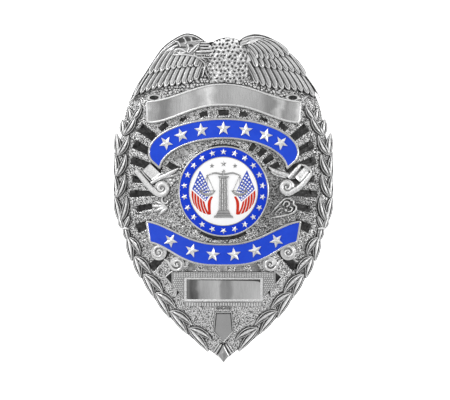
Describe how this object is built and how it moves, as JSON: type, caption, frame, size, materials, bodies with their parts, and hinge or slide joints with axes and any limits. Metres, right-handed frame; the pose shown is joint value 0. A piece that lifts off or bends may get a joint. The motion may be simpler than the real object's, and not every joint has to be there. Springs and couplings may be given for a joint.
{
  "type": "police shield badge",
  "caption": "Domed oval metal shield badge with a spread eagle, leaf wreaths, enamelled ribbons, a round seal and a pin at the back.",
  "frame": {"origin": "middle of the badge on the plane that its back rim rests on", "axes": "+X across the badge to the viewer's right, +Y up to the eagle, +Z out of the face"},
  "size_m": [0.0528, 0.0793, 0.009],
  "materials": {
    "bright_metal": "bright nickel plate",
    "polished_metal": "mirror polish",
    "ribbon_blue": "glossy enamel",
    "ring_blue": "glossy enamel",
    "white_enamel": "glossy enamel",
    "red_enamel": "glossy enamel",
    "pin_steel": "plain steel"
  },
  "bodies": {
    "root": {"shield_plate": "bright_metal", "wreath_left": "bright_metal", "wreath_right": "bright_metal", "eagle": "bright_metal", "upper_ribbon": "bright_metal", "lower_ribbon": "bright_metal", "scroll_left": "bright_metal", "scroll_right": "bright_metal", "tail_left": "bright_metal", "tail_right": "bright_metal", "seal_emblem": "bright_metal", "number_panel": "bright_metal", "tip_drop": "bright_metal", "rank_panel": "polished_metal", "seal_disc": "polished_metal", "tip_shield": "polished_metal", "upper_enamel": "ribbon_blue", "lower_enamel": "ribbon_blue", "ring_enamel": "ring_blue", "field_enamel": "white_enamel", "bunting_red": "red_enamel", "bunting_blue": "ring_blue", "pin_clasp": "pin_steel"}
  },
  "joints": []
}
